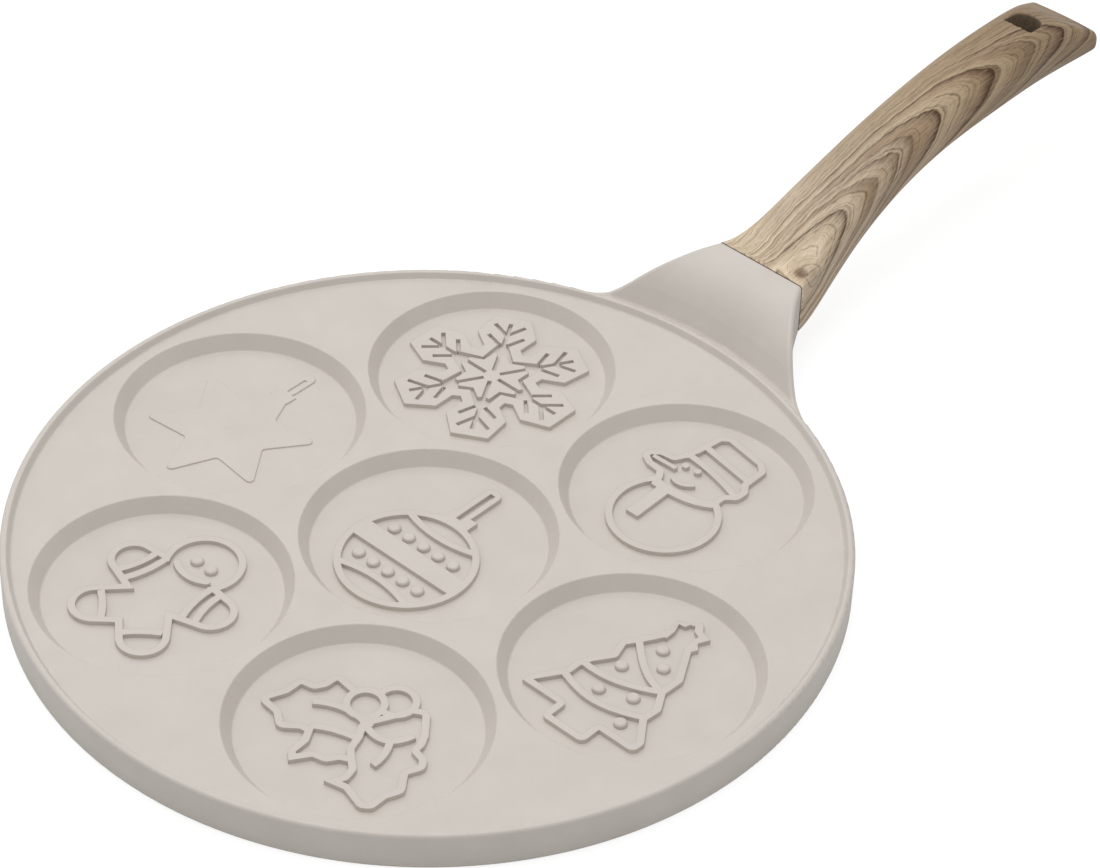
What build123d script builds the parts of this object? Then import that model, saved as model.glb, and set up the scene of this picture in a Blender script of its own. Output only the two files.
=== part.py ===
# Cast pancake pan with seven round wells and a one-piece handle.
# Millimetres, +Z up, +X along the handle, origin at the centre of the base plane.

import os
from math import atan2, cos, radians, sin, sqrt, tan

from build123d import *

os.makedirs("parts", exist_ok=True)

# Wells: one in the middle and six round it
DECK_Z = 10.9
WELL_TOP_R = 40.7
WELL_DRAFT = 3.4
WELL_DEPTH = 5.0
WELL_GAP = 3.4
WELL_RIM_ROUND = 0.5
WELL_FLOOR_ROUND = 0.7
WELL_FLOOR_R = WELL_TOP_R - WELL_DRAFT
WELL_FLOOR_Z = DECK_Z - WELL_DEPTH
WELL_PITCH_R = 2 * WELL_TOP_R + WELL_GAP

# Disc and lip
PAN_H = 13.2
LIP_TOP_W = 2.1
LIP_SLOPE_W = 1.3
LIP_W = LIP_TOP_W + LIP_SLOPE_W
LIP_GAP = 3.6
BASE_ROUND = 1.2
LIP_OUT_ROUND = 1.2
LIP_IN_ROUND = 0.5
DECK_ROUND = 0.8
PAN_R = WELL_PITCH_R + WELL_TOP_R + LIP_GAP + LIP_W
RING_GROOVES = 6
RING_GROOVE_FIRST_R = 24.0
RING_GROOVE_STEP = 18.0
RING_GROOVE_W = 1.6
RING_GROOVE_DEPTH = 0.4

# Raised motifs
BAND_W = 2.4
MOTIF_H = 1.45
DOT_ROUND = 0.9
DOT_R = 2.15
BEND_R = 1.7
FLAKE_GROOVE_W = 1.4
STAR_TIP_R = 29.5
STAR_NOTCH_R = 14.8
STAR_TIP_ROUND = 1.5
STAR_H = 0.5
STAR_EDGE_ROUND = 0.25
SCARF_W = 3.6
BAUBLE_R = 22.8
ROOT = 0.3

# Tongue between rim and handle, its sides flared onto the rim
TONGUE_L = 25.5
JOINT_HALF_W = 17.8
JOINT_BOTTOM_Z = 11.0
JOINT_TOP_Z = 30.1
FLARE_R = 80.3
VALLEY_OUT = 0.9
VALLEY_Z = 11.9
VALLEY_ROUND = 2.0
SLOPE_OUT = 5.0
SLOPE_TOP_Z = 18.4
TONGUE_LOW_Z = 3.0
TONGUE_EDGE_ROUND = 1.2
JOINT_X = PAN_R + TONGUE_L
JOINT_MID_Z = (JOINT_BOTTOM_Z + JOINT_TOP_Z) / 2

# Tenon and screw joint, on an axis that tilts up from the joint face
TENON_TILT = 15.0
TENON_W = 20.0
TENON_T = 7.0
TENON_L = 27.0
TENON_ROOT = 6.0
TENON_ROUND = 1.0
SOCKET_CLEAR = 0.3
SCREW_A = 17.0
SCREW_R = 2.5
THREAD_CLEAR = 0.05
SHANK_CLEAR = 0.3
SEAT_WALL = 1.9
WASHER_T = 1.1
WASHER_R = 4.4
HEAD_R = 4.75
HEAD_H = 2.7
RECESS_CLEAR = 0.6
HEX_AF = 3.0
HEX_DEPTH = 1.7
WASHER_SLIT = 0.9
WASHER_BORE_CLEAR = 0.15

# Gasket
GASKET_T = 0.5
GASKET_INSET = 0.35

# Handle, from the joint: distance out, rise of the middle, half width, thickness, corner radius
HANDLE_CORNER_R = 1.0
HANDLE_STATIONS = [
    (GASKET_T, 0.0, JOINT_HALF_W, JOINT_TOP_Z - JOINT_BOTTOM_Z, HANDLE_CORNER_R),
    (12.0, 1.45, 16.1, 19.8, 3.3),
    (20.0, 5.05, 15.3, 20.4, 5.2),
    (32.0, 11.05, 14.4, 21.0, 7.4),
    (47.0, 17.25, 13.6, 21.3, 9.0),
    (62.0, 22.05, 13.1, 21.5, 9.6),
    (82.0, 26.3, 12.9, 21.5, 9.7),
    (112.0, 29.25, 13.4, 22.0, 9.9),
    (134.0, 29.75, 13.4, 22.4, 10.0),
    (145.0, 29.35, 13.7, 21.0, 9.3),
    (155.0, 28.35, 14.6, 15.5, 6.8),
    (166.8, 26.65, 15.5, 7.0, 3.1),
]
END_BOW_R = 80.0
END_CORNER_R = 4.0
END_ROUND = 2.4

# Hang hole
HOLE_TO_END = 20.9
HOLE_L = 10.7
HOLE_HALF_W = 5.7
HOLE_CORNER_R = 1.2
HOLE_RIM_ROUND = 0.8


def well_plane(angle, pitch=WELL_PITCH_R):
    """Plane on a well's floor, its up axis along the handle."""
    centre = (pitch * cos(radians(angle)), pitch * sin(radians(angle)), WELL_FLOOR_Z - ROOT)
    return Plane(origin=centre, x_dir=(0, -1, 0), z_dir=(0, 0, 1))


def bends(points, bend, least):
    """Bend radius at each inner point, or a sharp corner where the runs are too short."""
    radii = []
    for before, here, after in zip(points, points[1:], points[2:]):
        run_in = Vector(*here) - Vector(*before)
        run_out = Vector(*after) - Vector(*here)
        turn = radians(run_in.get_angle(run_out))
        reach = 0.48 * min(run_in.length, run_out.length)
        radius = min(bend, reach / tan(turn / 2)) if turn > radians(3) else 0
        radii.append(radius if radius > least else 0)
    return radii


def band(*points, width=BAND_W, bend=BEND_R):
    """Line of one width through the points, its bends rounded."""
    with BuildLine() as path:
        if len(points) == 2:
            Line(*points)
        else:
            FilletPolyline(*points, radius=bends(points, bend, 0.52 * width))
    trace(path.line, line_width=width)


def curve(*points, width=BAND_W):
    """Line of one width on a smooth curve through the points."""
    with BuildLine() as path:
        Spline(*points)
    trace(path.line, line_width=width)


def dots(*points, radius=DOT_R):
    """Round dots."""
    with Locations(*points):
        Circle(radius)


def ring(centre, outer, width=BAND_W):
    """Round ring."""
    with Locations(centre):
        Circle(outer)
    with Locations(centre):
        Circle(outer - width, mode=Mode.SUBTRACT)


def cut_arms(*points):
    """The same recess cut on both sides of all six arms."""
    with PolarLocations(0, 6):
        Polygon(*points, align=None, mode=Mode.SUBTRACT)
    with PolarLocations(0, 6):
        Polygon(*[(a, -b) for a, b in reversed(points)], align=None, mode=Mode.SUBTRACT)


def slanted(start, end, width=FLAKE_GROOVE_W):
    """Corners of a straight groove between two points."""
    along = (Vector(*end) - Vector(*start)).normalized()
    out_a, out_b = -along.Y * width / 2, along.X * width / 2
    return [
        (start[0] - out_a, start[1] - out_b), (end[0] - out_a, end[1] - out_b),
        (end[0] + out_a, end[1] + out_b), (start[0] + out_a, start[1] + out_b),
    ]


def star_points(centre, tips, tip_r, notch_r):
    """Corners of a star with its first tip upwards."""
    corners = []
    for i in range(2 * tips):
        radius = notch_r if i % 2 else tip_r
        angle = radians(90 + 180 * i / tips)
        corners.append((centre[0] + radius * cos(angle), centre[1] + radius * sin(angle)))
    return corners


def dome_dots(motif):
    """Round the top rims of the motif's dots."""
    top = motif.edges().group_by(Axis.Z)[-1].filter_by(GeomType.CIRCLE)
    fillet(top.filter_by(lambda rim: rim.is_closed and rim.radius < 2 * DOT_R), DOT_ROUND)


def on_tenon(along, above=0.0):
    """Point given along and above the tenon's axis."""
    tilt = radians(TENON_TILT)
    x = JOINT_X + along * cos(tilt) - above * sin(tilt)
    z = JOINT_MID_Z + along * sin(tilt) + above * cos(tilt)
    return (x, 0, z)


def tenon_plane(along):
    """Plane across the tenon's axis."""
    tilt = radians(TENON_TILT)
    return Plane(origin=on_tenon(along), x_dir=(0, 1, 0), z_dir=(cos(tilt), 0, sin(tilt)))


def screw_plane(above):
    """Plane across the screw's axis at a height above the tenon's axis."""
    tilt = radians(TENON_TILT)
    return Plane(
        origin=on_tenon(SCREW_A, above), x_dir=(0, 1, 0), z_dir=(-sin(tilt), 0, cos(tilt))
    )


def flare_centre():
    """Centre of the flare's arc, which leaves the joint's corner and touches the rim."""
    corner = Vector(JOINT_X, JOINT_HALF_W)
    reach = (PAN_R + FLARE_R) ** 2
    along = (reach - FLARE_R**2 + corner.length**2) / (2 * corner.length)
    across = sqrt(reach - along**2)
    out = corner.normalized()
    return (along * out.X - across * out.Y, along * out.Y + across * out.X)


def flare_point(share):
    """Point on the flare's arc, from the joint at 0 to the rim at 1."""
    x, y = flare_centre()
    at_joint = atan2(JOINT_HALF_W - y, JOINT_X - x)
    at_rim = atan2(-y, -x)
    angle = at_joint + (at_rim - at_joint) * share
    return (x + FLARE_R * cos(angle), y + FLARE_R * sin(angle))


def other_side(point):
    """The point mirrored across the long axis."""
    return (point[0], -point[1])


# Snowflake: a flat plate of six arms, grooved down to the floor
with BuildPart() as snowflake:
    with BuildSketch(well_plane(30)):
        with PolarLocations(0, 6):
            Polygon(
                (0, 0), (12.8, -7.4), (15.3, -6.2), (22.0, -10.0), (31.6, -6.2),
                (31.6, 6.2), (22.0, 10.0), (15.3, 6.2), (12.8, 7.4),
                align=None,
            )
        cut_arms((2.8, 0), (28.2, 0), (28.2, FLAKE_GROOVE_W / 2), (2.8, FLAKE_GROOVE_W / 2))
        cut_arms(
            (7.6, 4.4), (12.1, 1.9), (11.6, 1.0), (11.6, 0), (17.4, 0),
            (17.4, 1.0), (16.1, 1.95), (8.9, 5.15),
        )
        cut_arms(*slanted((16.7, 1.6), (21.2, 6.1)))
        cut_arms(*slanted((22.0, 0.2), (27.2, 5.2)))
    extrude(amount=MOTIF_H + ROOT)

# Star ornament: a low six-pointed plate with a cap and a loop
with BuildPart() as star:
    with BuildSketch(well_plane(90)) as star_sketch:
        Polygon(*star_points((0, -4.5), 6, STAR_TIP_R, STAR_NOTCH_R), align=None)
        tips = star_sketch.vertices().filter_by(
            lambda corner: (Vector(corner) - Vector(star_sketch.sketch.center())).length > 20
        )
        fillet(tips, STAR_TIP_ROUND)
        with Locations((0, 19)):
            Rectangle(8.0, 4.2)
        with Locations((-0.1, 26.5)):
            SlotOverall(13.0, 4.8, rotation=90)
        with Locations((-0.1, 25.6)):
            Rectangle(1.0, 8.0, mode=Mode.SUBTRACT)
    extrude(amount=STAR_H + ROOT)
    fillet(star.edges().group_by(Axis.Z)[-1], STAR_EDGE_ROUND)

# Gingerbread man: one outline, mirrored about its upright axis
with BuildPart() as gingerbread:
    with BuildSketch(well_plane(150)):
        with BuildLine() as half_outline:
            ThreePointArc((0, 29.4), (10.8, 22.5), (10.4, 11.6))
            Line((10.4, 11.6), (17.5, 11.0))
            ThreePointArc((17.5, 11.0), (24.4, 4.1), (18.8, -2.7))
            Line((18.8, -2.7), (9.2, -5.8))
            Line((9.2, -5.8), (15.9, -13.1))
            ThreePointArc((15.9, -13.1), (15.9, -22.9), (6.05, -23.3))
            Line((6.05, -23.3), (-0.9, -17.05))
        trace(half_outline.line, line_width=BAND_W)
        curve((10.1, 11.4), (10.5, 3.9), (13.1, -4.4))
        curve((14.2, 11.2), (14.7, 4.5), (17.4, -3.0))
        curve((13.8, -12.7), (9.1, -16.3), (4.5, -21.3))
        mirror(about=Plane.YZ)
        with BuildLine() as chin:
            ThreePointArc((-6.6, 12.3), (0, 10.2), (6.6, 12.3))
        trace(chin.line, line_width=BAND_W)
        dots((-6.6, 12.3), (6.6, 12.3), radius=BAND_W / 2)
        dots((-3.1, 17.5), (3.1, 17.5))
    extrude(amount=MOTIF_H + ROOT)
    dome_dots(gingerbread)

# Holly: two leaves with midribs and two berries
with BuildPart() as holly:
    with BuildSketch(well_plane(210)):
        ring((0.5, 15.5), 7.1)
        ring((-5.6, 8.5), 6.9)
        band(
            (-11.0, 10.0), (-19.7, 11.0), (-19.9, 6.0), (-21.6, 3.0), (-26.3, 2.0), (-26.3, -4.0),
            (-29.3, -11.3), (-22.0, -12.0), (-17.2, -15.5), (-12.5, -11.5), (-9.6, -11.0),
        )
        curve((-17.5, -1.8), (-9.5, 2.5), (1.5, 2.4))
        curve((-10.6, -9.4), (-4.0, -5.6), (2.4, -3.7))
        band(
            (-10.2, -10.0), (-7.4, -14.7), (-7.1, -20.6), (-5.1, -22.3), (-1.7, -17.1),
            (2.5, -16.1), (4.8, -12.6), (7.9, -11.0),
        )
        band(
            (0.2, 1.6), (3.0, -3.0), (4.6, -8.0), (8.0, -11.0), (11.0, -13.4), (12.0, -17.4), (10.5, -21.0),
            (15.0, -19.9), (23.0, -22.2), (25.4, -20.5), (25.3, -15.0), (27.3, -10.0),
            (22.8, -4.0), (25.0, 1.0), (23.0, 3.6), (18.5, 4.5), (18.3, 7.5), (16.5, 11.0),
            (10.2, 18.2), (6.5, 16.0), (3.7, 9.5), (1.2, 4.6),
        )
        curve((0.5, 2.2), (10.0, 1.8), (14.2, 8.7))
        curve((11.0, 2.0), (13.4, -3.0), (14.0, -8.2))
        dots((0.6, 2.9), radius=2.1)
    extrude(amount=MOTIF_H + ROOT)

# Tree: tiered outline with garlands, dots and a small star
with BuildPart() as tree:
    with BuildSketch(well_plane(270)):
        band(
            (5.0, 20.0), (12.3, 7.5), (12.0, 0.0), (15.9, -6.5), (15.4, -12.2), (21.5, -20.5),
            (21.5, -23.8), (8.0, -23.8), (8.0, -31.2), (-6.4, -31.2), (-6.4, -23.8),
            (-20.4, -23.8), (-20.4, -22.0), (-16.3, -15.5), (-14.5, -12.5), (-14.5, -8.0),
            (-12.9, -3.8), (-9.0, 2.2), (-10.9, 8.3), (-7.4, 13.6), (-3.2, 21.2), bend=1.3,
        )
        curve((-8.4, 12.6), (0, 5.3), (5.0, 2.2), (12.0, 0.2))
        curve((-13.6, -6.6), (-8.0, -6.8), (-3.0, -6.2), (4.0, -4.0), (12.0, 0.2))
        curve((-15.4, -13.6), (-8.0, -15.9), (-2.0, -16.7), (5.0, -15.8), (15.4, -11.6))
        dots((-0.3, 14.5), (5.0, 8.7), (-4.8, 0.8), (7.0, -7.2), (-3.2, -11.3), (11.3, -17.8))
        Polygon(
            (1.2, 31.6), (-1.5, 28.4), (-5.6, 27.0), (-3.4, 23.6), (-5.6, 21.2), (-3.2, 18.6),
            (6.6, 18.8), (7.8, 21.4), (5.8, 23.5), (7.6, 27.3), (3.8, 28.4), align=None,
        )
        Polygon(
            (-4.0, 26.1), (-2.7, 22.8), (-2.6, 17.4), (4.4, 17.4), (3.7, 23.2), (4.0, 25.9),
            (1.5, 26.8), (0.2, 28.8), (-1.2, 28.2), (-1.9, 26.3), align=None, mode=Mode.SUBTRACT,
        )
    extrude(amount=MOTIF_H + ROOT)
    dome_dots(tree)

# Snowman: head and ribboned hat over a round body, with a scarf
with BuildPart() as snowman:
    with BuildSketch(well_plane(330)):
        ring((1.2, -12.3), 18.5)
        with BuildLine() as body_opening:
            Polyline((-12.4, 6.0), (-12.4, -1.2), (9.6, 2.2), (9.6, 8.0), close=True)
        make_face(body_opening.edges(), mode=Mode.SUBTRACT)
        band(
            (-12.2, 14.9), (-11.2, 18.5), (-9.9, 28.2), (-7.3, 30.4), (7.6, 27.8), (10.5, 25.2),
            (10.6, 16.4), (12.9, 13.4), (12.7, 9.6), (9.6, 7.0), (9.4, 1.0),
        )
        band((-10.6, 22.0), (10.4, 18.3))
        curve((-12.2, 15.3), (-1.5, 13.8), (11.9, 9.9))
        band(
            (-12.4, 14.2), (-14.2, 10.6), (-19.0, 9.9), (-22.2, 7.2), (-21.6, 5.2),
            (-18.5, 3.5), (-13.5, 3.0), (-11.6, 0.2), (-11.0, -2.0), bend=1.4,
        )
        band((-20.0, 6.9), (-10.5, 7.2), width=1.6)
        dots((-9.2, 10.4), (-4.5, 10.9), radius=1.25)
        dots((-12.2, 14.8), (-11.5, -1.6), radius=1.6)
        curve((-8.2, 3.0), (-4.6, 2.5), (-1.0, 5.2), width=1.8)
        curve((-11.4, -2.2), (-1.5, -2.0), (5.0, -0.4), (10.0, 2.6), width=SCARF_W)
        band((-6.6, -2.6), (-6.2, -19.0), width=4.8)
    extrude(amount=MOTIF_H + ROOT)

# Bauble: ring with garlands, a solid belt, dots, cap and loop
with BuildPart() as bauble:
    with BuildSketch(well_plane(0, 0)):
        with Locations((0.4, -10.4)):
            Circle(BAUBLE_R)
        with Locations((0.4, -10.4)):
            Circle(BAUBLE_R - BAND_W, mode=Mode.SUBTRACT)
        with Locations((0.4, -9.5)):
            Rectangle(2 * BAUBLE_R - 2.6, 7.8)
        with BuildLine() as upper_garland:
            ThreePointArc((-14.0, 5.9), (0, 3.4), (14.4, 5.9))
        trace(upper_garland.line, line_width=BAND_W)
        with BuildLine() as lower_garland:
            ThreePointArc((-14.6, -25.8), (0, -23.1), (14.8, -25.8))
        trace(lower_garland.line, line_width=BAND_W)
        for height in (-2.4, -18.2):
            dots(*[(u, height) for u in (-12.7, -6.35, 0, 6.35, 12.7)])
        with Locations((0, 14.2)):
            Rectangle(10.0, 5.0)
        with Locations((-0.9, 23.5)):
            SlotOverall(18.0, 6.2, rotation=90)
        with Locations((-0.75, 22.0)):
            Rectangle(1.9, 16.0, mode=Mode.SUBTRACT)
    extrude(amount=MOTIF_H + ROOT)
    dome_dots(bauble)

# Tongue: flared plan cut to its long section
with BuildPart() as tongue:
    with BuildSketch():
        with BuildLine():
            ThreePointArc(flare_point(0), flare_point(0.5), flare_point(1))
            root = (0.9 * flare_point(1)[0], 0.9 * flare_point(1)[1])
            Polyline(flare_point(1), root, other_side(root), other_side(flare_point(1)))
            ThreePointArc(*[other_side(flare_point(share)) for share in (1, 0.5, 0)])
            Line(other_side(flare_point(0)), flare_point(0))
        make_face()
    extrude(amount=JOINT_TOP_Z + 5)
    with BuildSketch(Plane.XZ):
        with BuildLine():
            in_r = PAN_R - 0.8 * LIP_TOP_W
            out_x = JOINT_X + 3
            rise = FilletPolyline(
                (in_r, TONGUE_LOW_Z), (in_r, VALLEY_Z), (PAN_R + VALLEY_OUT, VALLEY_Z),
                (PAN_R + SLOPE_OUT, SLOPE_TOP_Z), radius=[0, VALLEY_ROUND],
            )
            TangentArc(rise @ 1, (JOINT_X, JOINT_TOP_Z), tangent=rise % 1)
            Polyline(
                (JOINT_X, JOINT_TOP_Z), (out_x, JOINT_TOP_Z), (out_x, JOINT_BOTTOM_Z),
                (JOINT_X - 0.5, JOINT_BOTTOM_Z), (in_r, TONGUE_LOW_Z),
            )
        make_face()
    revolve(axis=Axis.Z, mode=Mode.INTERSECT)
    back_edges = tongue.edges().filter_by(
        lambda edge: edge.center().Z > SLOPE_TOP_Z
        and abs(edge.center().Y) > JOINT_HALF_W
        and edge.bounding_box().size.X > 0.5
    )
    fillet(back_edges, TONGUE_EDGE_ROUND)

# Pan body: disc, lip, wells and motifs, tongue and tenon in one casting
with BuildPart() as pan_body:
    with BuildSketch(Plane.XZ):
        with BuildLine():
            FilletPolyline(
                (0, 0), (PAN_R, 0), (PAN_R, PAN_H), (PAN_R - LIP_TOP_W, PAN_H),
                (PAN_R - LIP_W, DECK_Z), (0, DECK_Z),
                radius=[BASE_ROUND, LIP_OUT_ROUND, LIP_IN_ROUND, DECK_ROUND],
            )
            Line((0, DECK_Z), (0, 0))
        make_face()
    revolve(axis=Axis.Z)
    for ring_number in range(RING_GROOVES):
        ring_r = RING_GROOVE_FIRST_R + RING_GROOVE_STEP * ring_number
        with BuildSketch():
            Circle(ring_r + RING_GROOVE_W)
            Circle(ring_r, mode=Mode.SUBTRACT)
        extrude(amount=RING_GROOVE_DEPTH, mode=Mode.SUBTRACT)
    with Locations((0, 0, WELL_FLOOR_Z)):
        with PolarLocations(WELL_PITCH_R, 6, start_angle=30):
            Cone(
                WELL_FLOOR_R, WELL_TOP_R, WELL_DEPTH,
                align=(Align.CENTER, Align.CENTER, Align.MIN), mode=Mode.SUBTRACT,
            )
        Cone(
            WELL_FLOOR_R, WELL_TOP_R, WELL_DEPTH,
            align=(Align.CENTER, Align.CENTER, Align.MIN), mode=Mode.SUBTRACT,
        )
    circles = pan_body.edges().filter_by(GeomType.CIRCLE)
    fillet(circles.filter_by(lambda rim: abs(rim.radius - WELL_FLOOR_R) < 0.01), WELL_FLOOR_ROUND)
    circles = pan_body.edges().filter_by(GeomType.CIRCLE)
    fillet(circles.filter_by(lambda rim: abs(rim.radius - WELL_TOP_R) < 0.01), WELL_RIM_ROUND)
    add(tongue.part)
    for motif in (snowflake, star, gingerbread, holly, tree, snowman, bauble):
        add(motif.part)
    with BuildSketch(tenon_plane(-TENON_ROOT)):
        RectangleRounded(TENON_W, TENON_T, TENON_ROUND)
    extrude(amount=TENON_ROOT + TENON_L)
    with BuildSketch(screw_plane(-TENON_T)):
        Circle(SCREW_R + THREAD_CLEAR)
    extrude(amount=2 * TENON_T, mode=Mode.SUBTRACT)
pan_body.part.label = "pan_body"
export_step(pan_body.part, "parts/pan_body.step")

# Joint gasket: thin seal between tongue and handle, open around the tenon
with BuildPart() as joint_gasket:
    with BuildSketch(Plane.YZ.offset(JOINT_X)):
        with Locations((0, JOINT_MID_Z)):
            RectangleRounded(
                2 * (JOINT_HALF_W - GASKET_INSET),
                JOINT_TOP_Z - JOINT_BOTTOM_Z - 2 * GASKET_INSET,
                HANDLE_CORNER_R,
            )
    extrude(amount=GASKET_T)
    with BuildSketch(tenon_plane(-TENON_ROOT)):
        RectangleRounded(
            TENON_W + 2 * SOCKET_CLEAR, TENON_T + 2 * SOCKET_CLEAR, TENON_ROUND + SOCKET_CLEAR
        )
    extrude(amount=2 * TENON_ROOT, mode=Mode.SUBTRACT)
joint_gasket.part.label = "joint_gasket"
export_step(joint_gasket.part, "parts/joint_gasket.step")

# Handle: rounded sections along a rising and falling line
with BuildPart() as handle_grip:
    for out, rise, half_w, thick, corner in HANDLE_STATIONS:
        middle = (JOINT_X + out, 0, JOINT_MID_Z + rise)
        with BuildSketch(Plane(origin=middle, x_dir=(0, 1, 0), z_dir=(1, 0, 0))):
            RectangleRounded(2 * half_w, thick, corner)
    loft()
    end_x = JOINT_X + HANDLE_STATIONS[-1][0]
    wide = HANDLE_STATIONS[-1][2] + ROOT
    with BuildSketch():
        with BuildLine():
            bow = END_BOW_R - sqrt(END_BOW_R**2 - wide**2)
            ThreePointArc((end_x - bow, wide), (end_x, 0), (end_x - bow, -wide))
            Polyline((end_x - bow, wide), (0, 2 * wide), (0, -2 * wide), (end_x - bow, -wide))
        make_face()
        fillet(vertices().filter_by_position(Axis.X, end_x - 2 * bow, end_x), END_CORNER_R)
    extrude(amount=100, mode=Mode.INTERSECT)
    rims = handle_grip.edges().filter_by_position(Axis.X, end_x - bow - END_CORNER_R, end_x + ROOT)
    fillet(rims, END_ROUND)
    with BuildSketch(Plane.XY.offset(JOINT_MID_Z)):
        far_x = end_x - HOLE_TO_END
        near_x = far_x - HOLE_L
        arc_x = far_x - HOLE_HALF_W
        with Locations((arc_x, 0)):
            Circle(HOLE_HALF_W)
        with BuildLine() as near_end:
            sides = FilletPolyline(
                (arc_x, HOLE_HALF_W), (near_x, HOLE_HALF_W),
                (near_x, -HOLE_HALF_W), (arc_x, -HOLE_HALF_W),
                radius=[HOLE_CORNER_R, HOLE_CORNER_R],
            )
            Line(sides @ 1, sides @ 0)
        make_face(near_end.edges())
    extrude(amount=60, mode=Mode.SUBTRACT)
    rims = handle_grip.edges(Select.LAST).filter_by(GeomType.BSPLINE).filter_by(
        lambda rim: abs(rim.center().Y) < HOLE_HALF_W + ROOT
        and near_x - ROOT < rim.center().X < far_x + ROOT
    )
    fillet(rims, HOLE_RIM_ROUND)
    with BuildSketch(tenon_plane(-TENON_ROOT)):
        RectangleRounded(
            TENON_W + 2 * SOCKET_CLEAR, TENON_T + 2 * SOCKET_CLEAR, TENON_ROUND + SOCKET_CLEAR
        )
    extrude(amount=TENON_ROOT + TENON_L + SOCKET_CLEAR, mode=Mode.SUBTRACT)
    seat = -TENON_T / 2 - SOCKET_CLEAR - SEAT_WALL
    with BuildSketch(screw_plane(seat)):
        Circle(SCREW_R + SHANK_CLEAR)
    extrude(amount=TENON_T / 2, mode=Mode.SUBTRACT)
    with BuildSketch(screw_plane(seat)):
        Circle(HEAD_R + RECESS_CLEAR)
    extrude(amount=-20, mode=Mode.SUBTRACT)
handle_grip.part.label = "handle_grip"
export_step(handle_grip.part, "parts/handle_grip.step")

# Spring washer: split ring on the seat
with BuildPart() as spring_washer:
    with BuildSketch(screw_plane(seat)):
        Circle(WASHER_R)
        Circle(SCREW_R + WASHER_BORE_CLEAR, mode=Mode.SUBTRACT)
        with Locations((WASHER_R - 1, 0)):
            Rectangle(3 * SCREW_R, WASHER_SLIT, mode=Mode.SUBTRACT)
    extrude(amount=-WASHER_T)
spring_washer.part.label = "spring_washer"
export_step(spring_washer.part, "parts/spring_washer.step")

# Screw: round head with a hexagon socket, shank up into the tenon
with BuildPart() as handle_screw:
    with BuildSketch(screw_plane(seat - WASHER_T)):
        Circle(HEAD_R)
    extrude(amount=-HEAD_H)
    fillet(handle_screw.faces().sort_by(Axis.Z)[0].edges(), HEAD_H * 0.4)
    with BuildSketch(screw_plane(seat - WASHER_T)):
        Circle(SCREW_R)
    extrude(amount=WASHER_T + SEAT_WALL + SOCKET_CLEAR + TENON_T * 0.9)
    with BuildSketch(screw_plane(seat - WASHER_T - HEAD_H)):
        RegularPolygon(HEX_AF / 2, 6, major_radius=False)
    extrude(amount=HEX_DEPTH, mode=Mode.SUBTRACT)
handle_screw.part.label = "handle_screw"
export_step(handle_screw.part, "parts/handle_screw.step")
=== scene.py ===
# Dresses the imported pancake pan: coating, wood-print handle, steel screw joint, floor, light, camera.
# Metres, +Z up, +X along the handle, origin at the centre of the base.

import math

import bpy
import numpy as np
from mathutils import Matrix, Vector

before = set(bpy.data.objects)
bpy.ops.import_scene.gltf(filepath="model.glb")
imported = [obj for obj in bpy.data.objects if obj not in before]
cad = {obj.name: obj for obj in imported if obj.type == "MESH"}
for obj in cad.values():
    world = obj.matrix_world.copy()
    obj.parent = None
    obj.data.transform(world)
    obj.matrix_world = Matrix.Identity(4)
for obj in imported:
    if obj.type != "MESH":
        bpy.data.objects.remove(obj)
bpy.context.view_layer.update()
scene = bpy.context.scene

# Camera: lens and place that match the photograph, angles in degrees
LENS_MM = 120.55
SENSOR_MM = 36.0
CAMERA_AZIMUTH = -48.58
CAMERA_ELEVATION = 39.90
CAMERA_ROLL = 1.96
CAMERA_PLACE = (-0.6195, -0.5953, 0.7704)
CAMERA_CLIP = 0.05

# Lamps: name, place, side of the square, power in watts
LAMPS = [
    ("overhead", (0.0, 0.1, 1.7), 1.0, 11.8),
    ("key", (0.75, 0.85, 1.35), 0.9, 3.4),
    ("far_side", (0.1, 1.4, 0.7), 0.9, 2.3),
]
LAMP_TARGET = (0.05, 0.0, 0.0)
ROOM_LIGHT = 0.498

# Floor: grey for the object, grey and glow for the camera
FLOOR_HALF = 4
FLOOR_DROP = 0.0002
FLOOR_GREY = 0.80
FLOOR_SEEN_GREY = 0.24
FLOOR_GLOW = 0.85

# Colours, written as seen (sRGB, 0 to 255)
COATING = (210, 203, 195)
COATING_DARK = (205, 198, 190)
# Pale fibre streaks of the print, partly a painted whitish sheen
WOOD_FIBRE_SHEEN = (243, 226, 202)
WOOD_PALE = (231, 213, 185)
WOOD_MID = (198, 174, 145)
WOOD_LINE = (102, 72, 46)
HOLE_BROWN = (142, 124, 102)
SEAL = (74, 64, 54)
STEEL = (172, 172, 174)

# Noises: scale, detail, roughness
COATING_MOTTLE = (60.0, 3.0, 0.6)
COATING_GRAIN = (1400.0, 2.0, 0.6)
PLAIN_TONE = (900.0, 3.0, 0.6)

# Relief: depth of the fine grain, and the radius that softens the casting's edges
COATING_RELIEF = 0.00004
FINE_RELIEF = 0.00003
EDGE_SOFTNESS = 0.0004
PLAIN_DARKER = 0.82

# Handle's mid line that the print is unrolled from: x, height
HANDLE_LINE = [
    (0.1585, 0.0206), (0.170, 0.0220), (0.178, 0.0256), (0.190, 0.0316), (0.205, 0.0378),
    (0.220, 0.0426), (0.240, 0.0469), (0.270, 0.0498), (0.292, 0.0503), (0.303, 0.0499),
    (0.313, 0.0489), (0.325, 0.0472),
]
UNROLL_DROP = 0.006
UNROLL_R = 0.0125

# Walls of the hang hole: span along the handle, half width, steepest normal
HOLE_NEAR, HOLE_FAR = 0.2925, 0.3046
HOLE_HALF_W = 0.0063
HOLE_NORMAL_Z = 0.35

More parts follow.
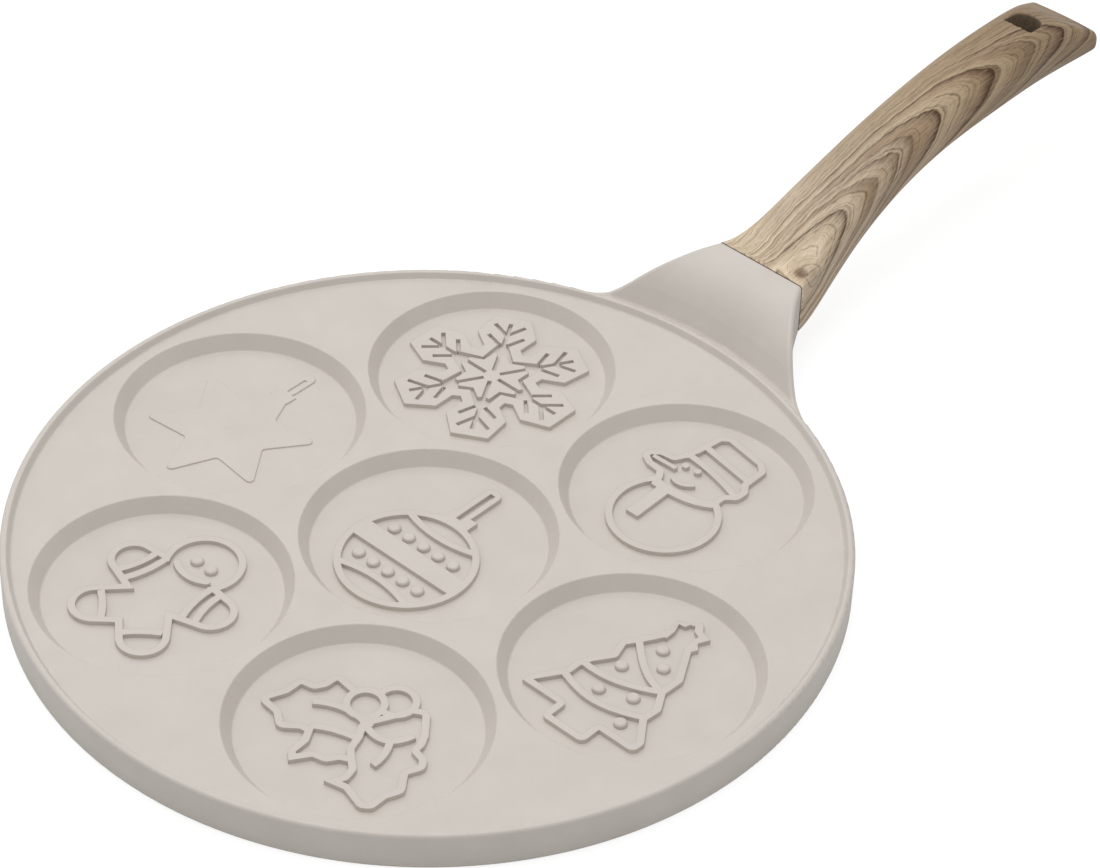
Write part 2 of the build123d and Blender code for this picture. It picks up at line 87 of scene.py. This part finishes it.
# Print's noises: scale along, round and across the handle, detail, roughness
WANDER = ((26.0, 75.0, 1.0), 2.0, 0.5)
RIPPLE = ((160.0, 420.0, 1.0), 2.0, 0.5)
MIDDLE = ((18.0, 0.0, 1.0), 1.0, 0.5)
FIBRE = ((110.0, 2100.0, 1.0), 3.0, 0.65)
SPECK = ((620.0, 1500.0, 1.0), 2.0, 0.6)

# Print's noises over its rings: scale, detail, roughness
BROAD = (62.0, 2.0, 0.5)
LINES = (330.0, 3.0, 0.7)

# Print's rings: a cone that is sharp at its middle line and steeper far to the sides
ARCH_OFF = 0.0072
ARCH_TIP = 0.0000022
ARCH_RUN = 2.3
LEFT_STEEP, RIGHT_STEEP = 161.0, 95.0
STEEP_RUN = 0.012
MIDDLE_SWAY = 0.006
RIPPLE_SWAY = 0.0011
WANDER_RUN = 0.013
RIPPLE_RUN = 0.0034

# Knot beside the joint: place along and round the handle, half sizes, lift of the rings
KNOT_X, KNOT_V = 0.1640, -0.0088
KNOT_HALF_L, KNOT_HALF_W = 0.0065, 0.0038
KNOT_REACH = 1.5
KNOT_RUN = 0.014

# Dark arches of the wood print: apex along the handle, strength
ARCHES = [
    (0.1690, 0.55), (0.1900, 0.80), (0.2080, 0.55), (0.2198, 0.62), (0.2290, 0.50), (0.2434, 0.85),
    (0.2727, 0.90), (0.2932, 0.55), (0.3095, 0.85), (0.3300, 0.60), (0.3480, 0.75), (0.3720, 0.60),
]
ARCH_FADE = 0.0095
ARCH_FADE_POWER = 1.7
ARCH_EDGE = 0.0012
ARCH_FAINT_V, ARCH_FULL_V = 0.0075, -0.0015
ARCH_LEAST, ARCH_GAIN = 0.45, 0.75

# Other marks of the print: value where each starts, value where it is full, strength
LINE_MARK = (0.52, 0.34, 0.55)
KNOT_MARK = (0.22, 0.02, 0.85)
FIBRE_MARK = (0.52, 0.30, 0.26)
SPECK_MARK = (0.46, 0.28, 0.20)
# Pale fibres of the print, also painting a whitish sheen
PALE_FIBRE_SHEEN_MARK = (0.52, 0.72, 0.30)
MID_STOP, PALE_STOP = 0.30, 0.60

# Painted shade along the handle, darker toward the tip where its top turns from the light: x, share of
# red, green and blue light
PAINTED_TIP_SHADE = [
    (0.164, (1.0, 1.0, 1.0)), (0.185, (0.91, 0.91, 0.92)), (0.204, (0.735, 0.707, 0.685)),
    (0.222, (0.69, 0.645, 0.60)), (0.242, (0.66, 0.605, 0.54)), (0.270, (0.56, 0.50, 0.43)),
    (0.300, (0.475, 0.415, 0.35)), (0.325, (0.45, 0.39, 0.32)),
]

# Lip's outer rounds: radius of their centres, lowest and highest centre, their own radius
RIM_CORE, RIM_LOW, RIM_HIGH, RIM_ROUND = 0.1313, 0.0012, 0.0120, 0.0012
RIM_END_X = 0.105
RIM_NEAR = 0.0007
RIM_LEAST_OFF = 0.00001
RIM_LEAST_Z = 0.0001
RIM_BAND_R, RIM_BAND_HALF = 0.1317, 0.0011


def linear(rgb):
    """Colour as seen to the linear values that shaders take."""
    out = []
    for value in rgb:
        v = value / 255
        out.append(v / 12.92 if v <= 0.04045 else ((v + 0.055) / 1.055) ** 2.4)
    return (*out, 1.0)


def grey(value):
    return (value, value, value, 1.0)


class Graph:
    """Small helper to write a node tree."""

    def __init__(self, tree):
        self.tree = tree

    def add(self, kind, **settings):
        node = self.tree.nodes.new(kind)
        for key, value in settings.items():
            setattr(node, key, value)
        return node

    def link(self, source, target):
        self.tree.links.new(source, target)

    def put(self, value, socket):
        """A link where the value is a socket, and a setting where it is a number."""
        if isinstance(value, bpy.types.NodeSocket):
            self.link(value, socket)
        else:
            socket.default_value = value

    def math(self, operation, a, b=0.0, c=0.0):
        node = self.add("ShaderNodeMath", operation=operation)
        for value, socket in zip((a, b, c), node.inputs):
            self.put(value, socket)
        return node.outputs[0]

    def product(self, first, *factors):
        for factor in factors:
            first = self.math("MULTIPLY", first, factor)
        return first

    def plus(self, base, value, share):
        """The base and a share of the value."""
        return self.math("MULTIPLY_ADD", value, share, base)

    def squares(self, a, b):
        return self.math("MULTIPLY_ADD", a, a, self.product(b, b))

    def length(self, a, b):
        return self.math("SQRT", self.squares(a, b))

    def parts(self, vector):
        node = self.add("ShaderNodeSeparateXYZ")
        self.link(vector, node.inputs[0])
        return node.outputs

    def vector(self, x, y, z):
        node = self.add("ShaderNodeCombineXYZ")
        for value, socket in zip((x, y, z), node.inputs):
            self.put(value, socket)
        return node.outputs[0]


class Nodes(Graph):
    """Small helper to write a material's nodes."""

    def __init__(self, name):
        self.material = bpy.data.materials.new(name)
        self.material.use_nodes = True
        super().__init__(self.material.node_tree)
        self.shader = self.tree.nodes["Principled BSDF"]
        self.output = self.tree.nodes["Material Output"]

    def noise(self, vector, scale, detail, roughness):
        """Noise in space, at one scale or at a scale for each axis."""
        if isinstance(scale, tuple):
            vector, scale = self.scaled(vector, scale), 1.0
        node = self.add("ShaderNodeTexNoise")
        self.put(vector, node.inputs["Vector"])
        return self.set_noise(node, scale, detail, roughness)

    def line_noise(self, w, scale, detail, roughness):
        """Noise along one number."""
        node = self.add("ShaderNodeTexNoise", noise_dimensions="1D")
        self.put(w, node.inputs["W"])
        return self.set_noise(node, scale, detail, roughness)

    def set_noise(self, node, scale, detail, roughness):
        for name, value in (("Scale", scale), ("Detail", detail), ("Roughness", roughness)):
            node.inputs[name].default_value = value
        return node.outputs["Fac"]

    def scaled(self, vector, scale):
        node = self.add("ShaderNodeMapping")
        self.link(vector, node.inputs["Vector"])
        node.inputs["Scale"].default_value = scale
        return node.outputs["Vector"]

    def span(self, value, start, end):
        """0 at the start, 1 at the end, held outside."""
        node = self.add("ShaderNodeMapRange")
        self.put(value, node.inputs["Value"])
        node.inputs["From Min"].default_value = start
        node.inputs["From Max"].default_value = end
        return node.outputs["Result"]

    def mark(self, value, start, full, strength):
        """0 up to the start, and the strength from the full value on."""
        return self.product(self.span(value, start, full), strength)

    def ramp(self, value, *stops):
        """Grey or colour ramp from (place, colour) stops."""
        node = self.add("ShaderNodeValToRGB")
        self.put(value, node.inputs["Fac"])
        elements = node.color_ramp.elements
        while len(elements) < len(stops):
            elements.new(0.5)
        for element, (place, colour) in zip(elements, stops):
            element.position = place
            element.color = colour if len(colour) == 4 else (*colour, 1.0)
        return node.outputs["Color"]

    def mix(self, factor, a, b, blend="MIX"):
        node = self.add("ShaderNodeMix", data_type="RGBA", blend_type=blend)
        for value, name in ((factor, "Factor_Float"), (a, "A_Color"), (b, "B_Color")):
            socket = next(s for s in node.inputs if s.identifier == name)
            self.put(value, socket)
        return next(s for s in node.outputs if s.identifier == "Result_Color")

    def surface(self, colour, roughness, specular=0.5, metallic=0.0):
        self.link(colour, self.shader.inputs["Base Color"])
        self.shader.inputs["Roughness"].default_value = roughness
        self.shader.inputs["Specular IOR Level"].default_value = specular
        self.shader.inputs["Metallic"].default_value = metallic

    def bump(self, height, depth, edge_radius=0.0):
        """Fine relief, over edges that are softened by a radius."""
        node = self.add("ShaderNodeBump")
        node.inputs["Distance"].default_value = depth
        self.link(height, node.inputs["Height"])
        if edge_radius:
            edges = self.add("ShaderNodeBevel", samples=8)
            edges.inputs["Radius"].default_value = edge_radius
            self.link(edges.outputs["Normal"], node.inputs["Normal"])
        self.link(node.outputs["Normal"], self.shader.inputs["Normal"])


def coating_material():
    """Satin ceramic coating with a faint mottle and fine grain."""
    m = Nodes("coating")
    place = m.add("ShaderNodeTexCoord").outputs["Object"]
    mottle = m.ramp(m.noise(place, *COATING_MOTTLE), (0.3, grey(0.0)), (0.7, grey(1.0)))
    m.surface(m.mix(mottle, linear(COATING), linear(COATING_DARK)), 0.42, specular=0.4)
    m.bump(m.noise(place, *COATING_GRAIN), COATING_RELIEF, EDGE_SOFTNESS)
    return m.material


def plain_material(name, colour, roughness, metallic=0.0):
    """Even material with a slight change of tone."""
    m = Nodes(name)
    tone = m.noise(m.add("ShaderNodeTexCoord").outputs["Object"], *PLAIN_TONE)
    share = m.ramp(tone, (0.35, grey(0.0)), (0.65, grey(1.0)))
    dark = tuple(PLAIN_DARKER * v for v in colour)
    m.surface(m.mix(share, linear(colour), linear(dark)), roughness, metallic=metallic)
    m.bump(tone, FINE_RELIEF)
    return m.material


def print_rings(m, uv, along, across, knot):
    """Value whose levels are the print's lines: nested arches, straight grain beside them."""
    wander = m.math("SUBTRACT", m.noise(uv, *WANDER), 0.5)
    ripple = m.math("SUBTRACT", m.noise(uv, *RIPPLE), 0.5)
    middle = m.math("SUBTRACT", m.noise(uv, *MIDDLE), 0.5)
    off = m.math("ADD", across, ARCH_OFF)
    off = m.plus(off, middle, MIDDLE_SWAY)
    off = m.plus(off, ripple, RIPPLE_SWAY)
    left = m.math("MAXIMUM", off, 0.0)
    right = m.math("MAXIMUM", m.product(off, -1.0), 0.0)
    rings = m.plus(along, m.math("SQRT", m.math("MULTIPLY_ADD", off, off, ARCH_TIP)), ARCH_RUN)
    for side, steep in ((left, LEFT_STEEP), (right, RIGHT_STEEP)):
        rings = m.plus(rings, m.math("POWER", m.product(side, steep), 3.0), STEEP_RUN)
    rings = m.plus(rings, m.span(knot, KNOT_REACH, 0.0), KNOT_RUN)
    rings = m.plus(rings, wander, WANDER_RUN)
    return m.plus(rings, ripple, RIPPLE_RUN)


def print_arches(m, rings, across):
    """Dark of the arches: a slow rise to each line, a sharp end, fainter on the far side."""
    dark = 0.0
    for place, strength in ARCHES:
        rise = m.math("POWER", m.span(rings, place - ARCH_FADE, place), ARCH_FADE_POWER)
        fall = m.span(rings, place + ARCH_EDGE, place)
        dark = m.math("MAXIMUM", m.product(rise, fall, strength), dark)
    return m.product(dark, m.plus(ARCH_LEAST, m.span(across, ARCH_FAINT_V, ARCH_FULL_V), ARCH_GAIN))


def wood_material():
    """Printed wood grain whose arches point to the handle's end, with a knot beside the joint, darkened
    toward the tip by painted shade.
    """
    m = Nodes("wood_print_and_painted_shade")
    uv = m.add("ShaderNodeUVMap", uv_map="grain").outputs["UV"]
    along, across, _ = m.parts(uv)
    knot_x = m.math("DIVIDE", m.math("SUBTRACT", along, KNOT_X), KNOT_HALF_L)
    knot_v = m.math("DIVIDE", m.math("SUBTRACT", across, KNOT_V), KNOT_HALF_W)
    knot = m.squares(knot_x, knot_v)
    rings = print_rings(m, uv, along, across, knot)
    fibre = m.noise(uv, *FIBRE)
    dark = print_arches(m, rings, across)
    dark = m.math("MAXIMUM", dark, m.mark(m.line_noise(rings, *LINES), *LINE_MARK))
    dark = m.math("MAXIMUM", dark, m.mark(knot, *KNOT_MARK))
    dark = m.math("ADD", dark, m.mark(fibre, *FIBRE_MARK))
    dark = m.math("ADD", dark, m.mark(m.noise(uv, *SPECK), *SPECK_MARK))
    broad = m.line_noise(rings, *BROAD)
    base = m.ramp(broad, (MID_STOP, linear(WOOD_MID)), (PALE_STOP, linear(WOOD_PALE)))
    colour = m.mix(m.math("MINIMUM", dark, 1.0), base, linear(WOOD_LINE))
    # Pale fibres of the print, whose whitish streaks are partly a painted sheen
    colour = m.mix(m.mark(fibre, *PALE_FIBRE_SHEEN_MARK), colour, linear(WOOD_FIBRE_SHEEN))
    # Painted shade: the print is made darker step by step toward the handle's tip
    start, end = PAINTED_TIP_SHADE[0][0], PAINTED_TIP_SHADE[-1][0]
    stops = [((x - start) / (end - start), tone) for x, tone in PAINTED_TIP_SHADE]
    tone = m.ramp(m.span(along, start, end), *stops)
    m.surface(m.mix(1.0, colour, tone, "MULTIPLY"), 0.48, specular=0.35)
    m.bump(fibre, FINE_RELIEF)
    return m.material


def floor_material():
    """Pale to the object, and nearly white to the camera, with the object's shadow left on it."""
    m = Nodes("floor")
    diffuse = m.add("ShaderNodeBsdfDiffuse")
    diffuse.inputs["Color"].default_value = grey(FLOOR_GREY)
    seen = m.add("ShaderNodeBsdfDiffuse")
    seen.inputs["Color"].default_value = grey(FLOOR_SEEN_GREY)
    glow = m.add("ShaderNodeEmission")
    glow.inputs["Color"].default_value = grey(1.0)
    glow.inputs["Strength"].default_value = FLOOR_GLOW
    both = m.add("ShaderNodeAddShader")
    m.link(seen.outputs[0], both.inputs[0])
    m.link(glow.outputs[0], both.inputs[1])
    pick = m.add("ShaderNodeMixShader")
    m.link(m.add("ShaderNodeLightPath").outputs["Is Camera Ray"], pick.inputs[0])
    m.link(diffuse.outputs[0], pick.inputs[1])
    m.link(both.outputs[0], pick.inputs[2])
    m.link(pick.outputs[0], m.output.inputs["Surface"])
    return m.material


def dress(obj, material):
    """One material on the whole node."""
    obj.data.materials.clear()
    obj.data.materials.append(material)


def unroll(obj):
    """UV layer in metres: along the handle, and round its section from the top's middle."""
    mesh = obj.data
    layer = mesh.uv_layers.get("grain") or mesh.uv_layers.new(name="grain")
    co = np.zeros(len(mesh.vertices) * 3)
    mesh.vertices.foreach_get("co", co)
    co = co.reshape(-1, 3)
    xs, heights = zip(*HANDLE_LINE)
    mid = np.interp(co[:, 0], xs, heights)
    turn = np.arctan2(co[:, 1], co[:, 2] - mid + UNROLL_DROP)
    uv = np.stack([co[:, 0], turn * UNROLL_R], 1)
    loops = np.zeros(len(mesh.loops), int)
    mesh.loops.foreach_get("vertex_index", loops)
    layer.data.foreach_set("uv", uv[loops].ravel())


def true_rim(obj):
    """Finer faces on the rim, set on its exact rounds, away from the tongue."""
    group = bpy.data.node_groups.new("true_rim", "GeometryNodeTree")
    for way in ("INPUT", "OUTPUT"):
        group.interface.new_socket("Geometry", in_out=way, socket_type="NodeSocketGeometry")
    g = Graph(group)
    x, y, z = g.parts(g.add("GeometryNodeInputPosition").outputs[0])

    # Each point's offset from the nearest centre of the rounds
    out = g.length(x, y)
    off = g.math("SUBTRACT", out, RIM_CORE)
    held = g.math("MINIMUM", g.math("MAXIMUM", z, RIM_LOW), RIM_HIGH)
    rise = g.math("SUBTRACT", z, held)
    reach = g.length(off, rise)
    on = g.product(
        g.math("COMPARE", reach, RIM_ROUND, RIM_NEAR),
        g.math("GREATER_THAN", off, RIM_LEAST_OFF),
        g.math("GREATER_THAN", z, RIM_LEAST_Z),
        g.math("LESS_THAN", x, RIM_END_X),
    )

    # The point moved onto the round, and the round's normal there
    stretch = g.math("DIVIDE", RIM_ROUND, reach)
    share = g.math("DIVIDE", g.plus(RIM_CORE, off, stretch), out)
    spot = g.vector(g.product(x, share), g.product(y, share), g.plus(held, rise, stretch))
    outward = g.math("DIVIDE", off, g.product(out, reach))
    upward = g.math("DIVIDE", rise, reach)
    exact = g.vector(g.product(x, outward), g.product(y, outward), upward)

    # Normals kept from the casting, and the band of faces round the rim taken apart
    keep = g.add("GeometryNodeCaptureAttribute", domain="CORNER")
    keep.capture_items.new("VECTOR", "facing")
    g.link(g.add("NodeGroupInput").outputs[0], keep.inputs["Geometry"])
    g.link(g.add("GeometryNodeInputNormal").outputs["Normal"], keep.inputs["facing"])
    halves = g.add("GeometryNodeSeparateGeometry", domain="FACE")
    g.link(keep.outputs["Geometry"], halves.inputs["Geometry"])
    g.link(g.math("COMPARE", out, RIM_BAND_R, RIM_BAND_HALF), halves.inputs["Selection"])

    # The band made finer and moved, and both joined again
    finer = g.add("GeometryNodeSubdivideMesh")
    finer.inputs["Level"].default_value = 1
    g.link(halves.outputs["Selection"], finer.inputs["Mesh"])
    moved = g.add("GeometryNodeSetPosition")
    g.link(finer.outputs["Mesh"], moved.inputs["Geometry"])
    g.link(on, moved.inputs["Selection"])
    g.link(spot, moved.inputs["Position"])
    whole = g.add("GeometryNodeJoinGeometry")
    g.link(moved.outputs["Geometry"], whole.inputs[0])
    g.link(halves.outputs["Inverted"], whole.inputs[0])

    # Exact normals on the rounds, the kept ones elsewhere
    pick = g.add("GeometryNodeSwitch", input_type="VECTOR")
    g.link(on, pick.inputs["Switch"])
    g.link(keep.outputs["facing"], pick.inputs["False"])
    g.link(exact, pick.inputs["True"])
    smooth = g.add("GeometryNodeSetMeshNormal", mode="FREE", domain="CORNER")
    g.link(whole.outputs[0], smooth.inputs["Mesh"])
    g.link(pick.outputs["Output"], smooth.inputs["Custom Normal"])
    g.link(smooth.outputs["Mesh"], g.add("NodeGroupOutput").inputs[0])
    obj.modifiers.new("true_rim", "NODES").node_group = group


def lamp(name, place, size, power):
    """Square soft lamp aimed at the pan."""
    light = bpy.data.lights.new(name, "AREA")
    light.shape = "SQUARE"
    light.size = size
    light.energy = power
    obj = bpy.data.objects.new(name, light)
    scene.collection.objects.link(obj)
    obj.location = place
    obj.rotation_euler = (Vector(LAMP_TARGET) - Vector(place)).to_track_quat("-Z", "Y").to_euler()


# Materials on the nodes
dress(cad["pan_body"], coating_material())
dress(cad["handle_grip"], wood_material())
dress(cad["joint_gasket"], plain_material("seal", SEAL, 0.7))
steel = plain_material("steel", STEEL, 0.32, 1.0)
dress(cad["handle_screw"], steel)
dress(cad["spring_washer"], steel)
unroll(cad["handle_grip"])
true_rim(cad["pan_body"])

# Hang hole: bare moulding inside
handle_mesh = cad["handle_grip"].data
handle_mesh.materials.append(plain_material("bare_moulding", HOLE_BROWN, 0.6))
for polygon in handle_mesh.polygons:
    centre, normal = polygon.center, polygon.normal
    inside = HOLE_NEAR < centre.x < HOLE_FAR and abs(centre.y) < HOLE_HALF_W
    if inside and abs(normal.z) < HOLE_NORMAL_Z:
        polygon.material_index = 1

# Floor
floor_mesh = bpy.data.meshes.new("floor")
corners = [(sx * FLOOR_HALF, sy * FLOOR_HALF, 0) for sx, sy in ((-1, -1), (1, -1), (1, 1), (-1, 1))]
floor_mesh.from_pydata(corners, [], [(0, 1, 2, 3)])
floor_mesh.materials.append(floor_material())
floor = bpy.data.objects.new("floor", floor_mesh)
scene.collection.objects.link(floor)
floor.location.z = -FLOOR_DROP

# World: even room light, white behind the object
world = bpy.data.worlds.new("room")
world.use_nodes = True
scene.world = world
room = Graph(world.node_tree)
background = room.tree.nodes["Background"]
background.inputs["Color"].default_value = grey(1.0)
ray = room.add("ShaderNodeLightPath").outputs
level = room.add("ShaderNodeMapRange")
level.inputs["To Min"].default_value = ROOM_LIGHT
level.inputs["To Max"].default_value = 1.0
seen_ray = room.math("MAXIMUM", ray["Is Camera Ray"], ray["Is Transmission Ray"])
room.link(seen_ray, level.inputs["Value"])
room.link(level.outputs["Result"], background.inputs["Strength"])

for settings in LAMPS:
    lamp(*settings)

# Camera
azimuth, elevation, roll = (math.radians(v) for v in (CAMERA_AZIMUTH, CAMERA_ELEVATION, CAMERA_ROLL))
back = Vector((
    math.sin(azimuth) * math.cos(elevation), -math.cos(azimuth) * math.cos(elevation), math.sin(elevation),
))
right = (-back).cross(Vector((0, 0, 1))).normalized()
up = right.cross(-back)
right, up = (
    math.cos(roll) * right + math.sin(roll) * up,
    -math.sin(roll) * right + math.cos(roll) * up,
)
camera_data = bpy.data.cameras.new("camera")
camera_data.lens = LENS_MM
camera_data.sensor_width = SENSOR_MM
camera_data.sensor_fit = "HORIZONTAL"
camera_data.clip_start = CAMERA_CLIP
camera = bpy.data.objects.new("camera", camera_data)
scene.collection.objects.link(camera)
camera.matrix_world = Matrix.Translation(CAMERA_PLACE) @ Matrix((right, up, back)).transposed().to_4x4()
scene.camera = camera
scene.view_settings.view_transform = "Standard"
